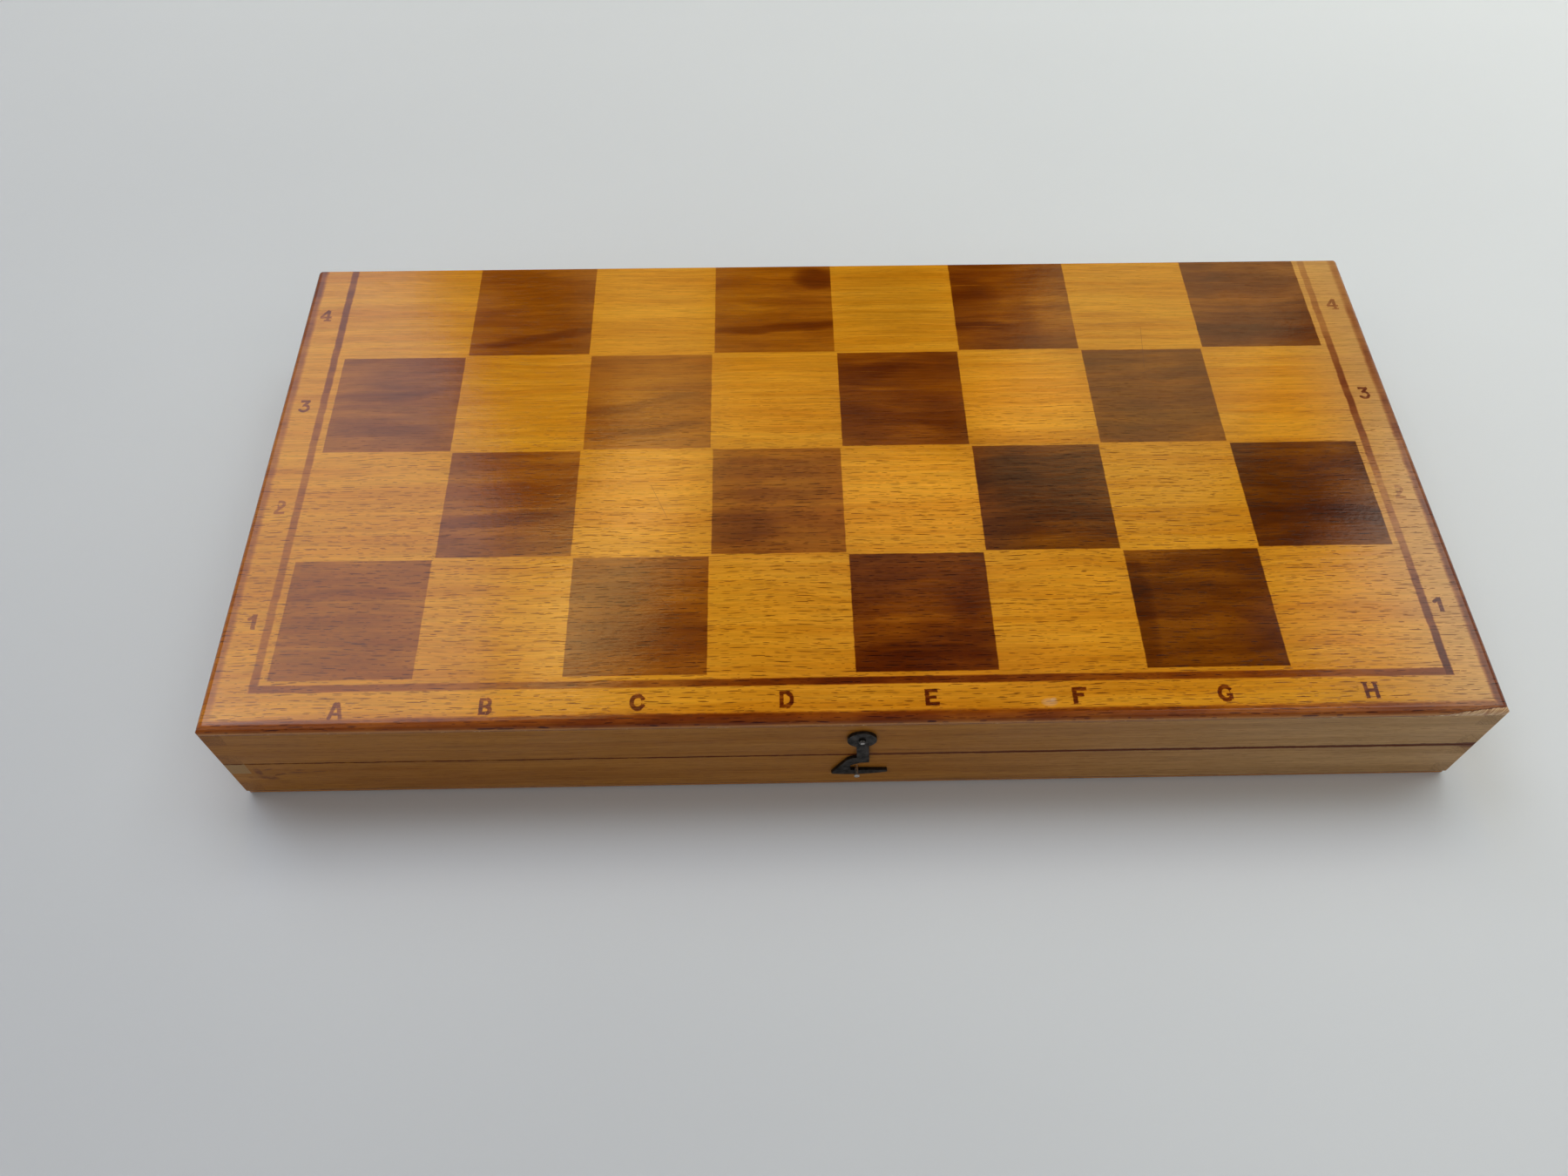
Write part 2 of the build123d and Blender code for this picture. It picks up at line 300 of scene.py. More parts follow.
def makeStroke():
    # distance to a segment from Start along Reach, Pull being Reach over its length squared
    names = "Start X, Start Y, Reach X, Reach Y, Pull X, Pull Y, Half"
    tree, take, give = numberGroup("stroke", names, "Distance")
    awayX = less(tree, take["X"], take["Start X"])
    awayY = less(tree, take["Y"], take["Start Y"])
    share = weighed(tree, awayX, take["Pull X"], awayY, take["Pull Y"], clamp=True)
    gapX = less(tree, awayX, times(tree, share, take["Reach X"]))
    gapY = less(tree, awayY, times(tree, share, take["Reach Y"]))
    feed(tree, give["Distance"], less(tree, reachOf(tree, gapX, gapY), take["Half"]))
    return tree


def makeBow():
    # distance to a ring, cut off where Side times x from the centre is below Limit
    names = "Centre X, Centre Y, Squeeze, Radius, Half, Side, Limit"
    tree, take, give = numberGroup("bow", names, "Distance")
    awayX = less(tree, take["X"], take["Centre X"])
    awayY = times(tree, less(tree, take["Y"], take["Centre Y"]), take["Squeeze"])
    ring = apart(tree, reachOf(tree, awayX, awayY), take["Radius"])
    past = less(tree, take["Limit"], times(tree, awayX, take["Side"]))
    feed(tree, give["Distance"], higher(tree, less(tree, ring, take["Half"]), past))
    return tree


bar, stroke, bow = makeBar(), makeStroke(), makeBow()

# Strokes of the letters and digits in millimetres from their middle:
# a bar is (x, y, half width, half height), a stroke (x, y, x, y, half width),
# a bow (x, y, radius, half width, squeeze in y, side, limit)
glyphs = {
    "A": {"stroke": [(-1.75, -2.7, -0.45, 2.35, 0.6), (1.75, -2.7, 0.45, 2.35, 0.6)],
          "bar": [(0, -1, 1.2, 0.42), (0, 2.4, 0.75, 0.45)]},
    "B": {"bar": [(-1.4, 0, 0.6, 2.85), (-0.6, 2.35, 0.8, 0.5), (-0.5, 0.05, 0.8, 0.48),
                  (-0.6, -2.35, 0.8, 0.5)],
          "bow": [(0.1, 1.25, 1.1, 0.58, 0.96, 1, 0), (0.25, -1.2, 1.15, 0.65, 0.98, 1, 0)]},
    "C": {"bow": [(0.1, 0, 1.9, 0.64, 0.86, -1, -1.2)],
          "stroke": [(1.2, 1.75, 1.75, 1.25, 0.5), (1.2, -1.75, 1.8, -1.2, 0.5)]},
    "D": {"bar": [(-1.35, 0, 0.6, 2.85), (-0.5, 2.32, 1, 0.53), (-0.5, -2.32, 1, 0.53)],
          "bow": [(0.05, 0, 1.75, 0.6, 0.76, 1, 0.1)]},
    "E": {"bar": [(-1.4, 0, 0.65, 2.85), (0, 2.32, 1.9, 0.53), (-0.2, 0, 1.6, 0.5), (0.15, -2.25, 2.1, 0.6)]},
    "F": {"bar": [(-1.3, 0, 0.7, 2.85), (0.3, 2.25, 2.25, 0.6), (-0.1, 0.2, 1.6, 0.55)]},
    "G": {"bow": [(0.1, 0, 1.9, 0.62, 0.84, -1, -1.3)],
          "bar": [(1.15, -0.55, 0.95, 0.45), (1.6, -1.2, 0.5, 1)],
          "stroke": [(1.2, 1.8, 1.6, 1.5, 0.5)]},
    "H": {"bar": [(-1.55, 0, 0.6, 2.85), (1.55, 0, 0.6, 2.85), (0, 0.05, 1.5, 0.48), (-1.6, 2.6, 0.9, 0.25),
                  (1.6, 2.6, 0.9, 0.25)]},
    "1": {"bar": [(0.4, 0, 0.7, 2.75)], "stroke": [(0.4, 2.1, -1.2, 1.1, 0.6)]},
    "2": {"bow": [(-0.1, 1.25, 1.25, 0.52, 1, 1, -0.8)], "stroke": [(1, 0.8, -1.3, -1.9, 0.5)],
          "bar": [(0, -2.3, 1.8, 0.5)]},
    "3": {"bar": [(0, 2.3, 1.6, 0.48)],
          "stroke": [(1.3, 2.1, 0, 0.6, 0.5), (-0.7, -2.35, -1.45, -1.75, 0.45)],
          "bow": [(0, -1, 1.5, 0.52, 1.05, 1, -0.7)]},
    "4": {"stroke": [(0.5, 2.4, -1.7, -0.6, 0.5)],
          "bar": [(0, -0.95, 2.1, 0.48), (0.8, -0.1, 0.58, 2.75), (0.8, -2.55, 1.3, 0.32)]},
    "5": {"bar": [(0.2, 2.45, 1.5, 0.45), (-1.1, 1.3, 0.45, 1.4)],
          "bow": [(-0.2, -0.9, 1.5, 0.5, 1, 1, -1)]},
    "6": {"bow": [(0, -1.2, 1.25, 0.5, 1, 1, -3)], "stroke": [(-1.15, -0.7, 0.6, 2.5, 0.45)]},
    "7": {"bar": [(0, 2.45, 1.8, 0.45)], "stroke": [(1.3, 2.2, -0.5, -2.5, 0.5)]},
    "8": {"bow": [(0, 1.4, 1, 0.45, 1, 1, -3), (0, -1.3, 1.25, 0.48, 1, 1, -3)]},
}


def segment(xa, ya, xb, yb):
    # the stroke group's inputs for a segment between two points
    dx, dy = xb - xa, yb - ya
    square = dx * dx + dy * dy
    pull = {"Pull_X": dx / square, "Pull_Y": dy / square}
    return {"Start_X": xa, "Start_Y": ya, "Reach_X": dx, "Reach_Y": dy, **pull}


def drawGlyph(tree, at, glyph, middle, turn, distance):
    # the nearer of the distance so far and that of each stroke, x mirrored where turn is -1
    def nearer(group, **values):
        piece = place(tree, group, X=at[0], Y=at[1], **values)
        return piece[0] if distance is None else lower(tree, distance, piece[0])
    x0, y0 = middle
    for x, y, w, h in glyph.get("bar", []):
        distance = nearer(bar, Centre_X=x0 + turn * x, Centre_Y=y0 + y, Half_X=w, Half_Y=h)
    for xa, ya, xb, yb, w in glyph.get("stroke", []):
        distance = nearer(stroke, Half=w, **segment(x0 + turn * xa, y0 + ya, x0 + turn * xb, y0 + yb))
    for x, y, r, w, squeeze, side, limit in glyph.get("bow", []):
        distance = nearer(bow, Centre_X=x0 + turn * x, Centre_Y=y0 + y, Squeeze=squeeze, Radius=r, Half=w,
                          Side=float(turn * side), Limit=limit)
    return distance


# The printed layout of a playing face, in millimetres: the grid of squares, the line round it, the border,
# the numbers beside it, the row that the letters stand in, and the depth at which the flat face ends
layout = {
    "pitch": 45.46, "columns": 8, "rows": 4, "left": -181.72, "front": -83.03, "inset": 0.45, "soft": 0.22,
    "lineLeft": -185.0, "lineRight": 184.9, "lineFront": -85.5, "lineHalf": 1.25, "lineSoft": 0.35,
    "borderSide": 195.9, "borderFront": -96.1, "borderDown": 1.33,
    "digitPlace": 190.8, "digitLean": 0.0135, "digitShift": 0.4, "digitDrop": 0.6,
    "letterRow": -87.0, "flatEnd": (0.35, 0.2),
}
# Where the letters stand: squares from the left edge of the grid, and millimetres in y
letterPlaces = {
    "A": (0.516, -93.3), "B": (1.513, -92.5), "C": (2.53, -91.9), "D": (3.527, -91.7),
    "E": (4.51, -91.8), "F": (5.506, -91.9), "G": (6.50, -91.9), "H": (7.493, -91.7),
}
# How dark the letters are: from this x to that, from this level to that
letterInk = (-165.0, -85.0, 1.05, 1.75)
# How dark the numbers are, from the first row back: beside the first file, then beside the last
digitInk = [0.85, 0.65, 1.3, 1.25, 1.7, 0.35, 1.5, 0.7]
# How deeply each dark square of the upper face took the stain
squareStain = {
    "A1": 0.62, "C1": 1.0, "E1": 1.5, "G1": 1.45, "B2": 0.78, "D2": 0.76, "F2": 1.55, "H2": 1.55,
    "A3": 0.8, "C3": 0.61, "E3": 1.22, "G3": 0.98, "B4": 0.8, "D4": 0.68, "F4": 1.02, "H4": 1.1,
}
# The two faces: turn mirrors the lettering, since the underside is seen from below
faces = {
    "upper": {"turn": 1, "odd": 0.0, "digits": "1234"},
    "lower": {"turn": -1, "odd": 1.0, "digits": "8765"},
}
# Darker and paler clouds in the stain: x, y, half length, half width, lean in degrees, and added depth
stainClouds = [
    (-20, 66, 30, 2.6, 3, 0.6), (-6, 93, 9, 6, 0, 0.8), (-108, 62, 28, 2.6, 9, 0.45),
    (-120, -22, 26, 3, 3, 0.4), (-128, -13, 9, 8, 0, -0.12), (-160, 35, 26, 3, 2, 0.25),
    (-164, 17, 24, 3, 0, 0.22), (52, 66, 17, 3, -4, 0.55), (52, 80, 12, 14, 0, 0.35),
    (84, 74, 10, 18, 0, -0.3), (-36, -27, 13, 8, 0, 0.45), (-12, -8, 18, 4, 0, -0.2),
    (-75, 28, 24, 2, 12, 0.3), (-68, 17, 24, 2.2, 8, 0.3), (20, 42, 26, 6, 0, 0.3),
    (12, 24, 14, 2.4, 0, 0.25), (54, -5, 16, 10, 0, 0.4), (94, -60, 4, 20, 0, 0.4),
    (22, -62, 14, 11, 0, -0.3), (172, 0, 14, 7, 0, -0.35), (155, 62, 26, 4, 0, 0.3),
    (-66, -72, 24, 4, 0, 0.2), (-148, -2, 8, 10, 0, -0.1), (-160, -52, 20, 3, 2, 0.15),
    (-152, -70, 24, 3, -2, 0.15),
]
# How dark the line and the border are along the front, by x, and along the sides, by y
edgeInk = {
    "lineFront": [(-190, 0.75), (-120, 0.75), (-60, 1.1), (0, 1.55), (70, 1.4), (130, 1.15), (190, 1.05)],
    "lineLeft": [(-90, 0.6), (-40, 0.55), (0, 0.6), (40, 0.9), (100, 1.3)],
    "lineRight": [(-90, 1.5), (-58, 1.6), (-35, 0.5), (-10, 0.35), (12, 1.1), (40, 1.2), (62, 0.5),
                  (100, 0.3)],
    "borderFront": [(-200, 0.8), (-150, 0.95), (-110, 1.1), (-60, 1.25), (0, 1.35), (60, 1.15), (120, 0.95),
                    (200, 0.85)],
    "borderLeft": [(-100, 0.45), (-60, 0.65), (-10, 0.55), (30, 0.65), (70, 0.85), (100, 1.3)],
    "borderRight": [(-100, 1.3), (-60, 1.2), (-10, 1.0), (40, 0.85), (70, 0.6), (100, 0.35)],
}


def makeCloud():
    # a soft leaning oval: Along and Across are its two axes, each divided by its half size
    names = "Centre X, Centre Y, Along X, Along Y, Across X, Across Y, Amount"
    tree, take, give = numberGroup("cloud", names, "Amount")
    awayX = less(tree, take["X"], take["Centre X"])
    awayY = less(tree, take["Y"], take["Centre Y"])
    along = weighed(tree, awayX, take["Along X"], awayY, take["Along Y"])
    across = weighed(tree, awayX, take["Across X"], awayY, take["Across Y"])
    square = weighed(tree, along, along, across, across)
    feed(tree, give["Amount"], times(tree, smooth(tree, square, 1.5, 0.1), take["Amount"]))
    return tree


cloud = makeCloud()


def addClouds(tree, x, y, clouds, shift=0.0):
    # the sum of all clouds at a place
    total = 0.0
    for atX, atY, length, width, lean, amount in clouds:
        turn = math.radians(lean)
        axes = {"Along_X": math.cos(turn) / length, "Along_Y": math.sin(turn) / length,
                "Across_X": -math.sin(turn) / width, "Across_Y": math.cos(turn) / width}
        spot = place(tree, cloud, X=x, Y=y, Centre_X=atX + shift, Centre_Y=atY, Amount=amount, **axes)
        total = plus(tree, total, spot[0])
    return total


def stainLevels(tree, index, face):
    # one level for each square, held over the squares' running number
    columns, rows = layout["columns"], layout["rows"]
    levels = {0: 0.0, columns * rows: 0.0}
    for name, level in squareStain.items():
        column, row = ord(name[0]) - ord("A"), int(name[1]) - 1
        if face["odd"]:
            column = columns - 1 - column
        levels[column + columns * row] = level
    return profile(tree, plus(tree, index, 0.5), sorted(levels.items()), stepped=True)


def stainedSquares(tree, at, x, y, wobble, face):
    # the depth of the stain in the dark squares, and the row of squares that a place lies in
    pitch, columns, rows = layout["pitch"], layout["columns"], layout["rows"]
    column = ratio(tree, less(tree, x, layout["left"]), pitch)
    row = ratio(tree, less(tree, y, layout["front"]), pitch)
    file = maths(tree, "FLOOR", column)
    rank = lower(tree, maths(tree, "FLOOR", row), rows - 1.0)
    inX = less(tree, column, file)
    inY = less(tree, row, rank)
    # distance to the nearest edge of the square, the last row being open at the fold
    openBack = maths(tree, "GREATER_THAN", rank, rows - 1.5)
    gapX = lower(tree, inX, less(tree, 1.0, inX))
    gapY = lower(tree, inY, plus(tree, less(tree, 1.0, inY), openBack))
    edge = times(tree, lower(tree, gapX, gapY), pitch)
    edge = plus(tree, edge, times(tree, wobble, 0.6))
    inside = smooth(tree, edge, layout["inset"] - layout["soft"], layout["inset"] + layout["soft"])
    # a square is dark where its column and row add up to an even number
    turned = plus(tree, plus(tree, file, rank), face["odd"])
    light = maths(tree, "MODULO", plus(tree, turned, columns), 2.0)
    onGrid = maths(tree, "GREATER_THAN", row, 0.0)
    onGrid = times(tree, onGrid, maths(tree, "COMPARE", column, columns / 2, columns / 2))
    dark = times(tree, times(tree, inside, onGrid), less(tree, 1.0, light))
    level = stainLevels(tree, timesPlus(tree, rank, columns, file), face)
    # lumps, streaks and clouds in the stain, all bent a little up and down
    bend = sway(tree, 10.0, at, (34, 26, 20), 2.0, 0.5, 3.0)
    sweptY = plus(tree, y, bend)
    swept = joined(tree, x, sweptY)
    lump = noise(tree, swept, (42, 15, 17), 3.0, 0.5, 5.0)
    strokes = noise(tree, swept, (70, 3.2, 3.2), 3.0, 0.6, 9.0)
    lump = smooth(tree, lump, 0.3, 0.7, 0.75, 1.25)
    uneven = plus(tree, lump, smooth(tree, strokes, 0.3, 0.72, -0.12, 0.2))
    shift = pitch if face["odd"] else 0.0
    depth = timesPlus(tree, level, uneven, addClouds(tree, x, sweptY, stainClouds, shift))
    return times(tree, dark, higher(tree, depth, 0.2)), rank


def edgeLines(tree, at, x, y, wobble, mirrored, onRight):
    # the depth of the line round the squares, open at the fold, and of the border
    levels = {}
    for part in ("line", "border"):
        left, right = [profile(tree, y, edgeInk[part + side]) for side in ("Left", "Right")]
        left = times(tree, left, less(tree, 1.0, onRight))
        levels[part + "Side"] = plus(tree, left, times(tree, right, onRight))
        levels[part + "Front"] = profile(tree, mirrored, edgeInk[part + "Front"])
    patchy = smooth(tree, noise(tree, at, (22, 9, 9), 3.0, 0.55, 2.0), 0.3, 0.7, 0.72, 1.25)
    fromLeft = apart(tree, x, plus(tree, wobble, layout["lineLeft"]))
    fromRight = apart(tree, x, plus(tree, wobble, layout["lineRight"]))
    behind = less(tree, layout["lineFront"], y)
    sides = higher(tree, lower(tree, fromLeft, fromRight), behind)
    fromFront = apart(tree, y, timesPlus(tree, wobble, 0.5, layout["lineFront"]))
    across = less(tree, unsigned(tree, x), layout["lineRight"])
    fromFront = higher(tree, fromFront, across)
    outer, inner = layout["lineHalf"] + layout["lineSoft"], layout["lineHalf"] - layout["lineSoft"]
    sideLine = smooth(tree, sides, outer, inner)
    frontLine = smooth(tree, fromFront, outer, inner)
    sideLine = times(tree, sideLine, levels["lineSide"])
    line = higher(tree, sideLine, times(tree, frontLine, levels["lineFront"]))
    # the border runs over the arris, its inner edge soft
    loose = times(tree, wobble, 1.3)
    pastSide = plus(tree, less(tree, unsigned(tree, x), layout["borderSide"]), loose)
    pastFront = plus(tree, less(tree, layout["borderFront"], y), loose)
    sideBorder = times(tree, smooth(tree, pastSide, -0.8, 1.0), levels["borderSide"])
    frontBorder = times(tree, smooth(tree, pastFront, -0.6, 0.7), levels["borderFront"])
    border = higher(tree, sideBorder, frontBorder)
    return times(tree, higher(tree, line, border), patchy)


def lettering(tree, at, x, y, rank, mirrored, onRight, face):
    # the depth of the letters along the front, and of the numbers at both sides
    distance = None
    for letter, (squaresOver, letterY) in letterPlaces.items():
        middle = (layout["left"] + squaresOver * layout["pitch"], letterY)
        distance = drawGlyph(tree, (x, y), glyphs[letter], middle, face["turn"], distance)
    # a number is drawn once for both sides, on an x that is folded over in the middle
    moved = plus(tree, x, layout["digitShift"])
    lean = timesPlus(tree, y, layout["digitLean"], layout["digitPlace"])
    folded = less(tree, moved, times(tree, maths(tree, "SIGN", x), lean))
    for number, digit in enumerate(face["digits"]):
        middle = (0.0, layout["front"] + (number + 0.5) * layout["pitch"] - layout["digitDrop"])
        distance = drawGlyph(tree, (folded, y), glyphs[digit], middle, face["turn"], distance)
    rough = sway(tree, 0.5, at, (1.4, 0.6, 1), 2.0, 0.6)
    ink = smooth(tree, plus(tree, distance, rough), 0.18, -0.18)
    number = timesPlus(tree, onRight, layout["rows"], rank)
    digitStops = list(enumerate(digitInk)) + [(8, 0.1)]
    digitLevel = profile(tree, plus(tree, number, 0.5), digitStops, stepped=True)
    letterLevel = smooth(tree, mirrored, *letterInk)
    inRow = maths(tree, "LESS_THAN", y, layout["letterRow"])
    letterLevel = times(tree, inRow, letterLevel)
    level = plus(tree, letterLevel, times(tree, less(tree, 1.0, inRow), digitLevel))
    worn = smooth(tree, noise(tree, at, (5, 1.6, 3), 3.0, 0.7, 4.0), 0.3, 0.62, 0.55, 1.15)
    return times(tree, times(tree, ink, worn), level)


def makePrint(name, face):
    # how deep the stain lies at a place on a playing face: squares, then line, border and lettering
    tree, take, give = newGroup(
        name,
        [("Place", "Vector", (0, 0, 0)), ("Depth", "Float", 0.0)],
        [("Stain", "Float"), ("Ink", "Float")],
    )
    at = take["Place"]
    wobble = sway(tree, 0.9, at, (9, 5, 5), 3.0, 0.7)
    x, y, _ = split(tree, at)
    squares, rank = stainedSquares(tree, at, x, y, wobble, face)
    mirrored = times(tree, x, float(face["turn"]))
    onRight = maths(tree, "GREATER_THAN", mirrored, 0.0)
    edging = edgeLines(tree, at, x, y, wobble, mirrored, onRight)
    ink = lettering(tree, at, x, y, rank, mirrored, onRight, face)
    # only the border reaches down the rim, and it stops above the glue line
    flat = smooth(tree, take["Depth"], *layout["flatEnd"])
    down = plus(tree, take["Depth"], times(tree, wobble, 0.5))
    onRim = smooth(tree, down, layout["borderDown"] + 0.9, layout["borderDown"] - 0.6, 0.3, 1.0)
    ink = higher(tree, times(tree, ink, flat), times(tree, edging, onRim))
    feed(tree, give["Ink"], ink)
    feed(tree, give["Stain"], times(tree, squares, flat))
    return tree


# The playing panels: varnished beech veneer. Clear is what stain of depth 1 lets through of red, green and
# blue, split is how high the raw ply reaches, by x, and ripple, orange and swell are heights in millimetres.
# A name that ends in X or Y holds where it starts and is full, and the share at both where that isn't 0 and 1
panelLook = {
    "pale": (0.62, 0.265, 0.013, 1), "deep": (0.48, 0.165, 0.004, 1), "grain": (0.84, 1.13),
    "clear": (0.37, 0.225, 0.13), "inkClear": (0.40, 0.235, 0.25), "greener": 0.09,
    "fleck": (0.22, 0.11, 0.09, 1), "fleckLength": 2.5, "fleckWidth": 0.14,
    "bare": (0.55, 0.36, 0.19, 1), "bareDeep": (0.44, 0.27, 0.13, 1), "bareRough": 0.7,
    "amber": (0.40, 0.17, 0.035, 1), "glue": (0.10, 0.028, 0.012, 1), "dust": (0.62, 0.50, 0.36, 1),
    "raw": (0.72, 0.49, 0.27, 1), "rawDeep": (0.40, 0.20, 0.09, 1), "greyRight": (0.52, 0.30, 0.115, 1),
    "split": [(175, 0.001), (181, 0.9), (186, 2.3), (193, 3.6), (201, 4.5)],
    "gloss": 0.3, "roughLow": 0.09, "roughHigh": 0.17, "rimRough": 0.22, "rimWidth": 2.4,
    "ripple": 0.022, "orange": 0.014, "swell": 0.35,
    "greyRightX": (160.0, 200.0, 0.0, 0.65), "fleckY": (45.0, -25.0, 0.3, 1.0), "splitX": (175.0, 183.0),
    "scratchX": 25.0, "scratchReach": (85.0, 50.0), "scratchY": (22.0, 50.0), "scratchDepth": 0.55,
    "greenerX": (38.0, 55.0), "greenerY": (58.0, 48.0),
}
# Paler and deeper places of the veneer: x, y, half length, half width, lean, and change of brightness
toneClouds = [
    (23, -15, 30, 24, 0, 0.2), (68, 30, 26, 22, 0, 0.24), (-23, 30, 24, 22, 0, 0.1),
    (162, 30, 24, 22, 0, 0.14), (160, -60, 24, 22, 0, 0.08), (68, -60, 24, 22, 0, 0.06),
    (-68, -14, 22, 22, 0, 0.12), (23, 80, 22, 20, 0, -0.13), (172, -93, 30, 6, 0, -0.12),
]
# A faint dust mark: x, y, half length, half width, lean and strength
dustMarks = [(59.2, -94.1, 2.4, 1.4, 0, 0.2), (60.5, -93.2, 1.0, 0.6, 20, 0.2)]
# Hairlines scratched into the varnish of the upper face: from x, y to x, y
hairlines = [
    (115.6, 64, 113.4, 44), (100, 66.5, 131, 67.2), (112, 41, 119, 44), (-72, -40, -52, -66),
    (-60, -22, -66, -8),
]


def scratched(tree, x, y):
    # the nearest hairline's distance, made 1 on the line itself
    distance = 9.0
    for ends in hairlines:
        line = place(tree, stroke, X=x, Y=y, Half=0.03, **segment(*ends))
        distance = lower(tree, distance, line[0])
    return smooth(tree, distance, 0.16, 0.0)


def splitWood(tree, at, colour, depth):
    # the front right arris of the upper panel has split away: raw ply below a ragged crack
    x, y, _ = split(tree, at)
    ragged = sway(tree, 1.8, at, (2.6, 1.2, 1.2), 3.0, 0.7, 5.5)
    over = less(tree, plus(tree, y, box["halfDepth"]), depth)
    past = less(tree, less(tree, profile(tree, x, panelLook["split"]), box["panel"]), over)
    past = plus(tree, past, ragged)
    lost = smooth(tree, past, 0.0, 0.25)
    # its torn fibres lean to the right
    fibres = joined(tree, timesPlus(tree, over, -0.55, x), times(tree, over, 0.12))
    hatch = smooth(tree, noise(tree, fibres, (0.55, 0.55, 9), 2.0, 0.6), 0.38, 0.62)
    raw = blend(tree, hatch, panelLook["rawDeep"], panelLook["raw"])
    colour = blend(tree, lost, colour, raw)
    # the crack runs along its upper side, with a second one above
    crack = smooth(tree, apart(tree, past, 0.05), 0.32, 0.08)
    second = smooth(tree, unsigned(tree, plus(tree, past, 1.15)), 0.2, 0.05)
    second = times(tree, second, smooth(tree, noise(tree, at, (5, 2, 2)), 0.42, 0.5))
    crack = times(tree, higher(tree, crack, second), smooth(tree, x, *panelLook["splitX"]))
    return blend(tree, times(tree, crack, 0.85), colour, panelLook["glue"])


def stainedBy(tree, colour, clear, depths):
    # red, green and blue, each times what stain of depth 1 lets through to the power of the depth
    passed = tinted(tree, *[maths(tree, "POWER", part, depth) for part, depth in zip(clear, depths)])
    return blend(tree, 1.0, colour, passed, "MULTIPLY")


def varnish(tree, sockets, at, x, y, isInner, woodHeight):
    # uneven gloss, rubbed dull on the rounded rim and missing inside, over long ripples and orange peel
    look = panelLook
    worn = noise(tree, at, (45, 30, 30), 4.0, 0.6, 6.0)
    rough = smooth(tree, worn, 0.3, 0.75, look["roughLow"], look["roughHigh"])
    fromSide = less(tree, box["halfLength"], unsigned(tree, x))
    inwards = lower(tree, fromSide, plus(tree, y, box["halfDepth"]))
    rubbed = smooth(tree, inwards, look["rimWidth"] + 0.6, look["rimWidth"] - 0.6, 0.0, look["rimRough"])
    rough = higher(tree, rough, rubbed)
    feed(tree, sockets["Roughness"], higher(tree, rough, times(tree, isInner, look["bareRough"])))
    ripple = noise(tree, at, (14, 1.1, 1.1), 3.0, 0.6, 8.0)
    orange = noise(tree, at, (1.9, 1.3, 2.0), 2.0, 0.5, 2.5)
    swell = noise(tree, at, (90, 60, 60), 1.0, 0.4, 1.2)
    height = weighed(tree, ripple, look["ripple"], orange, look["orange"])
    height = timesPlus(tree, swell, look["swell"], plus(tree, height, woodHeight))
    bumped(tree, sockets, height)


def panelMaterial(name, face, top):
    # top is the height of the playing face
    look = panelLook
    material, tree, sockets = newMaterial(name, Specular_IOR_Level=look["gloss"])
    at = millimetres(tree)
    x, y, z = split(tree, at)
    depth = apart(tree, z, top)
    wood = place(tree, beech, Place=at, Fleck_Length=look["fleckLength"], Fleck_Width=look["fleckWidth"])
    printed = place(tree, makePrint(name + "Print", face), Place=at, Depth=depth)
    colour = blend(tree, smooth(tree, wood["Tone"], 0.32, 0.68), look["deep"], look["pale"])
    if top > 0:
        colour = shaded(tree, colour, plus(tree, addClouds(tree, x, y, toneClouds), 1.0))
        # paler and greyer towards the right end
        colour = blend(tree, smooth(tree, x, *look["greyRightX"]), colour, look["greyRight"])
    # the flecks show most towards the front
    flecked = plus(tree, y, sway(tree, 90.0, at, (70, 40, 40)))
    fleck = times(tree, wood["Fleck"], smooth(tree, flecked, *look["fleckY"]))
    colour = blend(tree, fleck, colour, look["fleck"], "MULTIPLY")
    grain = smooth(tree, wood["Streak"], 0.25, 0.75, *look["grain"])
    colour = shaded(tree, colour, grain)
    # fine pale scratches along the grain thin the stain near the middle of the fold
    scratch = smooth(tree, noise(tree, at, (45, 0.42, 0.45), 1.0, 0.5, 11.0), 0.68, 0.75)
    fromMiddle = apart(tree, x, look["scratchX"])
    where = times(tree, smooth(tree, y, *look["scratchY"]), smooth(tree, fromMiddle, *look["scratchReach"]))
    scratch = times(tree, scratch, where)
    stain = times(tree, printed["Stain"], timesPlus(tree, scratch, -look["scratchDepth"], 1.0))
    # the stain is a little greener on the right
    greener = times(tree, smooth(tree, x, *look["greenerX"]), smooth(tree, y, *look["greenerY"]))
    lessGreen = times(tree, stain, timesPlus(tree, greener, -look["greener"], 1.0))
    colour = stainedBy(tree, colour, look["clear"], (stain, lessGreen, stain))
    colour = stainedBy(tree, colour, look["inkClear"], [printed["Ink"]] * 3)
    # amber edge of the ply below the border, then the glue line
    low = smooth(tree, depth, 1.5, 2.3)
    colour = blend(tree, times(tree, low, 0.8), colour, look["amber"])
    uneven = timesPlus(tree, noise(tree, at, (8, 8, 4), 3.0, 0.6), 0.5, 2.4)
    colour = blend(tree, smooth(tree, less(tree, depth, uneven), 0.0, 0.15), colour, look["glue"])
    if top > 0:
        colour = splitWood(tree, at, colour, depth)
        line = times(tree, scratched(tree, x, y), smooth(tree, depth, 0.3, 0.1))
        colour = blend(tree, times(tree, line, 0.4), colour, look["glue"])
        dust = addClouds(tree, x, y, dustMarks)
        colour = blend(tree, times(tree, dust, grain), colour, look["dust"])
    # bare wood inside the box
    inner = blend(tree, smooth(tree, wood["Tone"], 0.3, 0.7), look["bareDeep"], look["bare"])
    inner = shaded(tree, inner, grain)
    isInner = smooth(tree, depth, box["panel"] - 0.015, box["panel"] - 0.005)
    feed(tree, sockets["Base Color"], blend(tree, isInner, colour, inner))
    varnish(tree, sockets, at, x, y, isInner, wood["Height"])
    return material


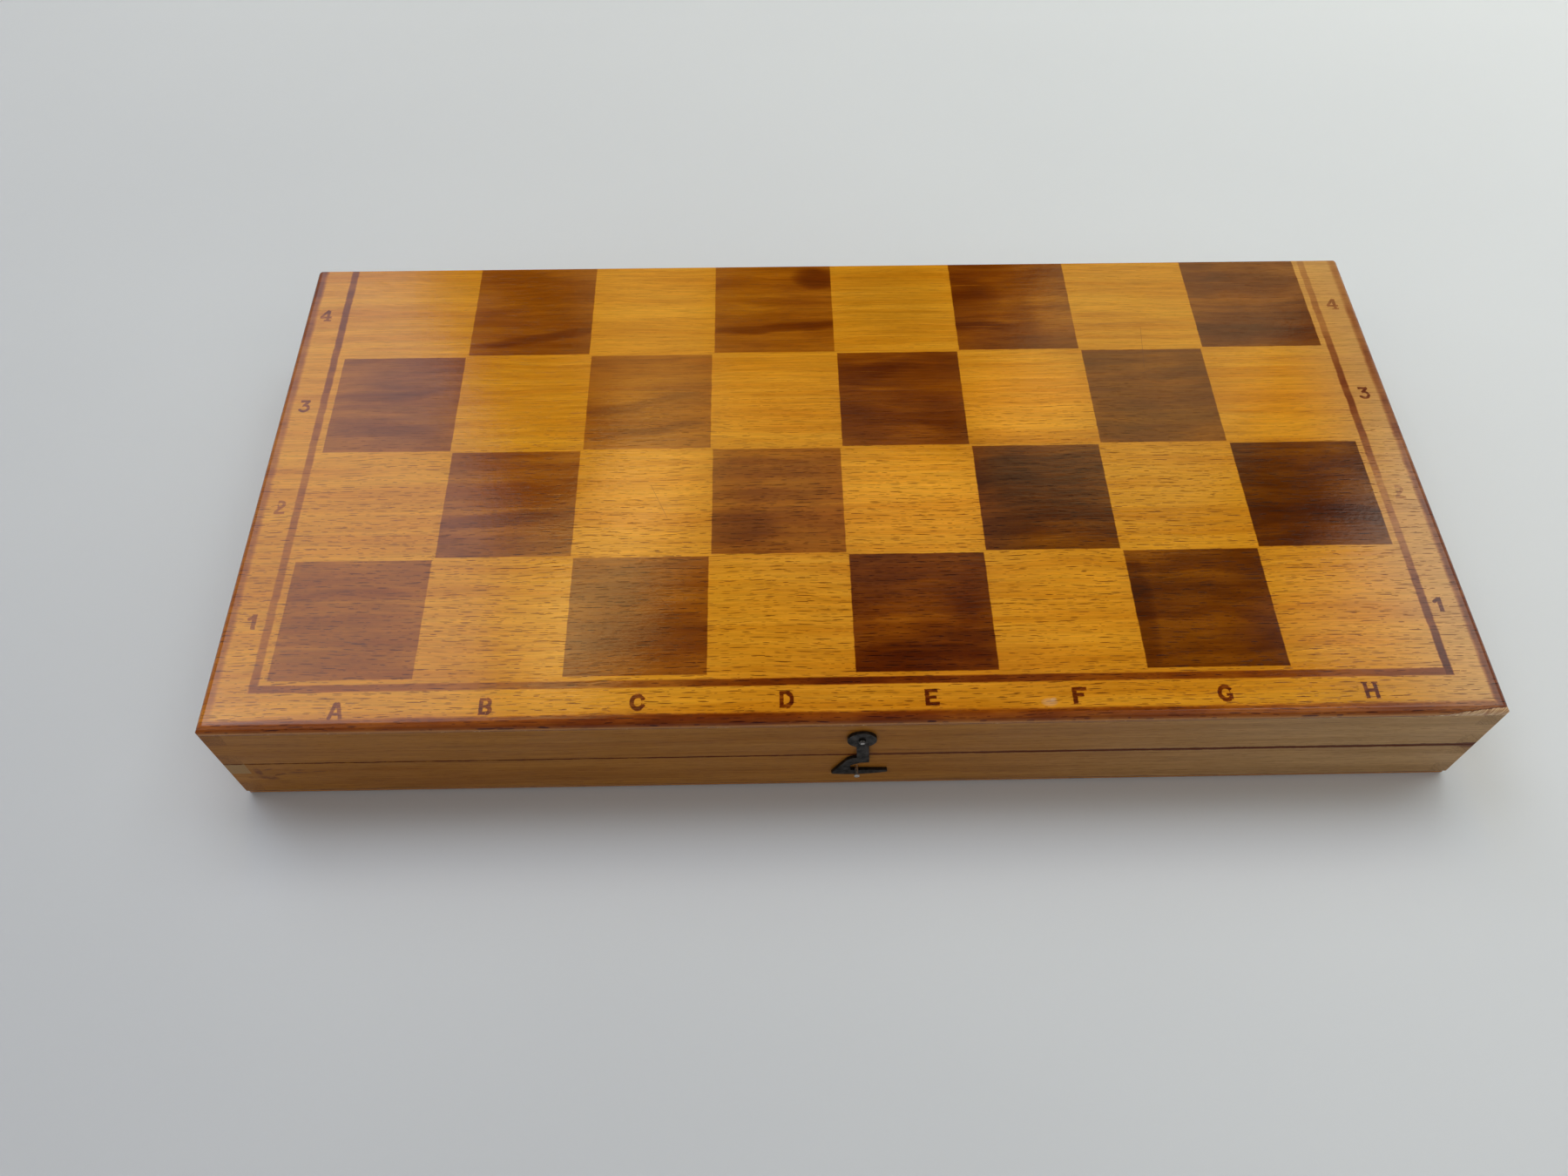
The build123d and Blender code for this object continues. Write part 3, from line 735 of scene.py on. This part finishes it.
dress(panelMaterial("upperFace", faces["upper"], box["height"]), "upper_panel")
dress(panelMaterial("lowerFace", faces["lower"], 0.0), "lower_panel")
print("the playing panels are stained, lettered and varnished")

# The rails: plain beech under satin varnish, bare inside the box. The open finger lies between two x and has
# the middle and half of its height, and the seam's band of dirt and painted shade is so high at each x
railLook = {
    "pale": (0.40, 0.172, 0.028, 1), "deep": (0.29, 0.108, 0.013, 1), "grain": (0.86, 1.12),
    "darkLines": 0.76, "fleck": (0.42, 0.28, 0.2, 1), "fleckLength": 2.6, "fleckWidth": 0.15,
    "greyRight": (0.50, 0.315, 0.14, 1), "greyRightDeep": (0.38, 0.225, 0.09, 1), "greyRightX": (10.0, 180.0, 0.0, 0.9),
    "bare": (0.56, 0.38, 0.21, 1), "bareDeep": (0.45, 0.28, 0.14, 1), "bareRough": 0.72,
    "end": (0.88, 0.86, 0.82, 1), "openEnd": (0.36, 0.225, 0.095, 1), "openX": (-190.0, -192.0),
    "openZ": (19.5, 4.0), "seam": (0.12, 0.027, 0.008, 1),
    "seamHeight": [(-200, 0.25), (-20, 0.45), (60, 0.75), (150, 0.9), (188, 0.95), (196, 1.2), (201, 1.2)],
    "blotch": (0.18, 0.062, 0.016, 1), "gloss": 0.12, "rough": 0.38,
}
# Reddish stains on the lower front rail beside its open finger: x, z, half length, half height, lean, amount
railBlotches = [
    (-188.5, 13, 3.6, 1.4, -15, 0.6), (-190.5, 17.5, 1.2, 3, 0, 0.65), (-184.5, 15.2, 2.6, 0.7, 25, 0.7),
    (-178, 16.5, 3.5, 0.5, 0, 0.75), (-177, 18.2, 1.6, 0.6, 0, 0.7), (-187, 19, 2, 0.6, 20, 0.45),
    (-171, 17.2, 2.4, 0.45, 3, 0.5), (-193.5, 13.4, 2, 1, 0, 0.4), (198, 21.5, 3, 1.2, 0, 0.5),
]


def railMaterial(name, along):
    # along is the axis that the grain follows, 0 for x and 1 for y
    look = railLook
    material, tree, sockets = newMaterial(name, Specular_IOR_Level=look["gloss"])
    at = millimetres(tree)
    x, y, z = split(tree, at)
    turned = at if along == 0 else joined(tree, y, x, z)
    lifted = joined(tree, split(tree, turned)[0], plus(tree, split(tree, turned)[1], z), z)
    wood = place(tree, beech, Place=lifted, Fleck_Length=look["fleckLength"], Fleck_Width=look["fleckWidth"])
    colour = blend(tree, smooth(tree, wood["Tone"], 0.3, 0.7), look["deep"], look["pale"])
    # paler and greyer towards the right end
    greyRight = smooth(tree, x, *look["greyRightX"])
    greyed = blend(tree, smooth(tree, wood["Tone"], 0.3, 0.7), look["greyRightDeep"], look["greyRight"])
    colour = blend(tree, greyRight, colour, greyed)
    # fine grain, thin dark lines and flecks
    grain = smooth(tree, wood["Streak"], 0.25, 0.75, *look["grain"])
    lines = noise(tree, lifted, (26, 0.42, 0.42), 2.0, 0.55, 4.4)
    grain = times(tree, grain, smooth(tree, lines, 0.55, 0.68, 1.0, look["darkLines"]))
    colour = shaded(tree, colour, grain)
    colour = blend(tree, times(tree, wood["Fleck"], 0.55), colour, look["fleck"], "MULTIPLY")
    # end grain on the fingers' ends, the open one of the lower front left corner palest
    reach, half = (x, box["halfLength"]) if along == 0 else (y, box["halfDepth"])
    end = smooth(tree, unsigned(tree, reach), half - 0.1, half - 0.04)
    pores = smooth(tree, noise(tree, at, (0.5, 0.5, 0.9), 3.0, 0.7), 0.35, 0.65, 0.85, 1.08)
    colour = blend(tree, end, colour, shaded(tree, look["end"], pores), "MULTIPLY")
    frontFace = (0.5 - box["halfDepth"], 0.2 - box["halfDepth"])
    if along == 1:
        openEnd = times(tree, smooth(tree, x, *look["openX"]), smooth(tree, y, *frontFace))
        openEnd = times(tree, openEnd, maths(tree, "COMPARE", z, *look["openZ"]))
        colour = blend(tree, times(tree, openEnd, 0.8), colour, look["openEnd"])
    onFront = smooth(tree, y, *frontFace)
    mottle = smooth(tree, noise(tree, at, (3.0, 3.0, 1.5), 3.0, 0.65), 0.3, 0.6, 0.35, 1.2)
    blotch = times(tree, addClouds(tree, x, z, railBlotches), onFront)
    blotch = times(tree, blotch, times(tree, mottle, 1.5), clamp=True)
    colour = blend(tree, blotch, colour, look["blotch"])
    # dirt, old varnish and painted shade in the seam between the trays, thickest at the right end
    ragged = sway(tree, 1.3, at, (4, 4, 1.4), 3.0, 0.7)
    nearSeam = plus(tree, apart(tree, z, box["seam"]), ragged)
    reach = times(tree, profile(tree, x, look["seamHeight"]), smooth(tree, onFront, 0.0, 1.0, 0.4, 1.0))
    seam = smooth(tree, nearSeam, plus(tree, reach, 0.15), less(tree, reach, 0.1))
    outside = smooth(tree, unsigned(tree, x), box["halfLength"] - 1.6, box["halfLength"] - 0.4)
    outsideY = smooth(tree, unsigned(tree, y), box["halfDepth"] - 1.6, box["halfDepth"] - 0.3)
    outside = higher(tree, outside, outsideY)
    colour = blend(tree, times(tree, times(tree, seam, 0.95), outside), colour, look["seam"])
    # bare wood inside the box
    inX = smooth(tree, unsigned(tree, x), box["wallX"] + 0.2, box["wallX"] + 0.1)
    inY = smooth(tree, unsigned(tree, y), box["wallY"] + 0.2, box["wallY"] + 0.1)
    inner = times(tree, inX, inY)
    bare = blend(tree, smooth(tree, wood["Tone"], 0.3, 0.7), look["bareDeep"], look["bare"])
    bare = shaded(tree, bare, grain)
    feed(tree, sockets["Base Color"], blend(tree, inner, colour, bare))
    worn = noise(tree, at, (30, 30, 12), 3.0)
    rough = smooth(tree, worn, 0.3, 0.7, look["rough"] - 0.06, look["rough"] + 0.1)
    feed(tree, sockets["Roughness"], higher(tree, rough, times(tree, inner, look["bareRough"])))
    bumped(tree, sockets, wood["Height"])
    return material


alongX = railMaterial("railAlong", 0)
alongY = railMaterial("railAcross", 1)
for tray in ("upper", "lower"):
    dress(alongX, f"{tray}_front_rail", f"{tray}_back_rail")
    dress(alongY, f"{tray}_left_rail", f"{tray}_right_rail")
print("the rails are finished")

# The fittings: colour of the metal, colour of what darkens it, how rough it is, and the size of its patches.
# The nail's head is bright only out to shine, a small painted highlight, and beyond that lies a ring of
# painted shade
metals = {
    "hinge": {"metal": (0.42, 0.40, 0.37, 1), "dull": (0.20, 0.18, 0.16, 1), "rough": 0.42, "patch": 4.0},
    "bright": {"metal": (0.62, 0.61, 0.60, 1), "dull": (0.30, 0.27, 0.24, 1), "rough": 0.3, "patch": 1.2},
    "nail": {"metal": (0.72, 0.71, 0.70, 1), "dull": (0.45, 0.43, 0.40, 1), "rough": 0.28, "patch": 1.2,
             "rim": (0.09, 0.085, 0.08, 1), "shine": 0.5, "axis": (2.2, 35.0)},
    "hook": {"metal": (0.05, 0.046, 0.043, 1), "dull": (0.012, 0.012, 0.012, 1), "rough": 0.42, "patch": 2.5},
}


def metalMaterial(name, look):
    # metal in patches with brushed lines, and a ring of painted shade round a nail's axis, which is an x and
    # a z
    material, tree, sockets = newMaterial(name, Metallic=1.0)
    at = millimetres(tree)
    size = look["patch"]
    patch = noise(tree, at, (size, size, size), 4.0, 0.65)
    brushed = noise(tree, at, (6.0, 0.6, 0.25), 3.0, 0.6)
    tone = weighed(tree, brushed, 0.35, patch, 0.65)
    colour = blend(tree, smooth(tree, tone, 0.35, 0.6), look["dull"], look["metal"])
    if "axis" in look:
        x, _, z = split(tree, at)
        away = reachOf(tree, less(tree, x, look["axis"][0]), less(tree, z, look["axis"][1]))
        # painted shade round the nail's head, which leaves only a small bright dot as a painted highlight
        rim = smooth(tree, away, look["shine"], look["shine"] + 0.25)
        colour = blend(tree, rim, colour, look["rim"])
    feed(tree, sockets["Base Color"], colour)
    rough = smooth(tree, patch, 0.3, 0.7, look["rough"] + 0.15, look["rough"] - 0.08)
    feed(tree, sockets["Roughness"], rough)
    bumped(tree, sockets, weighed(tree, brushed, 0.01, patch, 0.02))
    return material


hingeMetal = metalMaterial("hingeSteel", metals["hinge"])
brightMetal = metalMaterial("brightWire", metals["bright"])
hookMetal = metalMaterial("blackenedSteel", metals["hook"])
nailMetal = metalMaterial("hookNail", metals["nail"])
for side in ("left", "right"):
    dress(hingeMetal, f"{side}_hinge_lower_leaf", f"{side}_hinge_upper_leaf")
    dress(brightMetal, f"{side}_hinge_pin")
dress(brightMetal, "lower_hinge_screws", "upper_hinge_screws", "catch_nail")
dress(nailMetal, "hook_nail")
dress(hookMetal, "hook")
print("the fittings are finished")

# The camera that the squares' corners and the outline gave: millimetres and degrees
photoView = {"lens": 27.996, "turn": (33.2393, -0.1748, -1.1252), "place": (-26.45, -267.62, 377.06)}


def placeCamera(view):
    data = bpy.data.cameras.new("camera")
    data.sensor_width = 36.0
    data.lens = view["lens"]
    data.clip_start = 0.01
    data.dof.use_dof = False
    camera = bpy.data.objects.new("camera", data)
    camera.location = [v / 1000 for v in view["place"]]
    camera.rotation_euler = [math.radians(v) for v in view["turn"]]
    bpy.context.scene.collection.objects.link(camera)
    bpy.context.scene.camera = camera


placeCamera(photoView)

# Room light, angles in degrees, azimuths from +y towards +x. Each rise or turn is where a part starts and
# where it is full. A window has the azimuths of its left side at its lower and upper end, those of its
# right side, both ends' elevations, its glow, and how soft it is
room = {
    "ceiling": 0.14, "ceilingRise": (22, 32), "wallBack": 0.45, "wallFront": 0.05, "wallTurn": (-0.3, 0.5),
    "horizon": 0.42, "horizonRise": (8, 18),
    "front": (1.25, 1.13, 1.0), "frontTurn": (-0.05, -0.35), "frontRise": (20, 35), "frontGap": (0.2, 0.45),
    "dimSpot": (8, 50), "dimWide": (28, 44), "dim": 0.02, "dimTint": (1.0, 0.85, 0.45),
    "sun": 0.92, "sunWidth": 30, "sunTurn": (-25, 0, -15),
    "windows": [
        ((-48, -48), (-20, -20), (34, 53), (2.4, 2.6, 2.8), 1.4),
        ((-48, -48), (-20, -30), (53, 63), (2.4, 2.6, 2.8), 1.4),
        ((-80, -80), (-48, -36), (46, 68), (3, 3.2, 3.5), 3),
        ((-10.7, -10.7), (-3.5, -3.5), (36, 50.5), (1.4, 1.15, 0.55), 0.8),
        ((-10.7, -10.7), (-3, -3), (46, 50.5), (2.4, 1.3, 0.1), 0.8),
        ((-11, -23), (-3.5, -14.5), (50.5, 60), (5.8, 4.2, 1.5), 1),
        ((-20, -24), (-14.5, -18.5), (54, 61), (4.6, 3.7, 1.8), 1),
        ((-13, -14), (-6, -7), (50, 54.5), (1.3, 1.2, 0.9), 1.2),
        ((18, 15), (31, 31), (36, 50), (1.05, 1.4, 0.85), 1.4),
        ((-5, -2), (7, 24), (49, 55), (0.3, 0.85, 0.65), 2),
        ((38.5, 40.5), (58, 58), (39, 52), (2.7, 2.8, 2.6), 1.8),
        ((60, 52), (84, 84), (46, 68), (3.3, 3.6, 3.6), 3),
    ],
}


def addGlow(tree, glow, share, colour):
    # the glow so far, plus the colour times the share
    return vectors(tree, "MULTIPLY_ADD", joined(tree, share, share, share), colour, glow)


def windowMask(tree, azimuth, elevation, left, right, rise, soft):
    # 1 in a window and 0 outside it: both sides are straight from the lower end to the upper
    low, high = rise
    above = smooth(tree, elevation, low - soft, low + soft)
    mask = times(tree, above, smooth(tree, elevation, high + soft, high - soft))
    for (atLow, atHigh), inwards in ((left, soft), (right, -soft)):
        steep = (atHigh - atLow) / (high - low)
        side = timesPlus(tree, elevation, steep, atLow - steep * low)
        mask = times(tree, mask, smooth(tree, less(tree, azimuth, side), -inwards, inwards))
    return mask


def lightRoom(look):
    # the world: a low wall, a warm fill from the front, a dim ceiling with one dark spot, and bright windows
    world = bpy.data.worlds.new("room")
    bpy.context.scene.world = world
    world.use_nodes = True
    tree = world.node_tree
    direction = tree.nodes.new("ShaderNodeTexCoord").outputs["Generated"]
    x, y, z = split(tree, direction)
    azimuth = maths(tree, "DEGREES", maths(tree, "ARCTAN2", x, y))
    elevation = maths(tree, "DEGREES", maths(tree, "ARCSINE", z))
    wallFront = smooth(tree, elevation, *look["horizonRise"], look["horizon"], look["wallFront"])
    wall = smooth(tree, y, *look["wallTurn"], wallFront, look["wallBack"])
    strength = smooth(tree, elevation, *look["ceilingRise"], wall, look["ceiling"])
    turn, tilt = [math.radians(v) for v in look["dimSpot"]]
    towards = (math.sin(turn) * math.cos(tilt), math.cos(turn) * math.cos(tilt), math.sin(tilt))
    offSpot = maths(tree, "ARCCOSINE", vectors(tree, "DOT_PRODUCT", direction, towards))
    offSpot = maths(tree, "DEGREES", offSpot)
    dimmed = smooth(tree, offSpot, *look["dimWide"], look["dim"] / look["ceiling"], 1.0)
    strength = times(tree, strength, dimmed)
    tints = [smooth(tree, offSpot, *look["dimWide"], tint, 1.0) for tint in look["dimTint"]]
    glow = joined(tree, *[times(tree, strength, tint) for tint in tints])
    # the fill has a dark gap in its middle
    fill = times(tree, smooth(tree, y, *look["frontTurn"]), smooth(tree, elevation, *look["frontRise"]))
    fill = times(tree, fill, smooth(tree, unsigned(tree, x), *look["frontGap"]))
    glow = addGlow(tree, glow, fill, look["front"])
    for left, right, rise, colour, soft in look["windows"]:
        mask = windowMask(tree, azimuth, elevation, left, right, rise, soft)
        glow = addGlow(tree, glow, mask, colour)
    feed(tree, tree.nodes["Background"].inputs["Color"], glow)
    # a wide sun that doesn't show in the gloss
    data = bpy.data.lights.new("overhead", "SUN")
    data.energy = look["sun"]
    data.angle = math.radians(look["sunWidth"])
    sun = bpy.data.objects.new("overhead", data)
    sun.rotation_euler = [math.radians(v) for v in look["sunTurn"]]
    sun.visible_glossy = False
    bpy.context.scene.collection.objects.link(sun)


lightRoom(room)

# The floor: half its side in metres, its two colours, pale and painted shade, the share of the pale one in
# the middle, how much that changes over a millimetre of x and of y, and how much its clouds change it
floorLook = {
    "half": 4.0, "pale": (0.84, 0.87, 0.88, 1), "shade": (0.46, 0.475, 0.51, 1), "rough": 0.5,
    "slope": 0.0008, "middle": 0.36, "cloud": 0.06,
}


def layFloor(look):
    half = look["half"]
    mesh = bpy.data.meshes.new("floor")
    corners = [(-half, -half, 0), (half, -half, 0), (half, half, 0), (-half, half, 0)]
    mesh.from_pydata(corners, [], [(0, 1, 2, 3)])
    floor = bpy.data.objects.new("floor", mesh)
    bpy.context.scene.collection.objects.link(floor)
    material, tree, sockets = newMaterial("floor", Roughness=look["rough"])
    # painted light and shade: paler towards the back right, where the room is lighter, with faint clouds
    at = millimetres(tree)
    x, y, _ = split(tree, at)
    slope = timesPlus(tree, y, look["slope"], look["middle"])
    slope = timesPlus(tree, x, look["slope"], slope)
    share = plus(tree, slope, sway(tree, 2 * look["cloud"], at, (260, 160, 200), 3.0), clamp=True)
    feed(tree, sockets["Base Color"], blend(tree, share, look["shade"], look["pale"]))
    mesh.materials.append(material)


layFloor(floorLook)
bpy.context.scene.view_settings.view_transform = "Standard"
print("camera, room light and floor are in place")
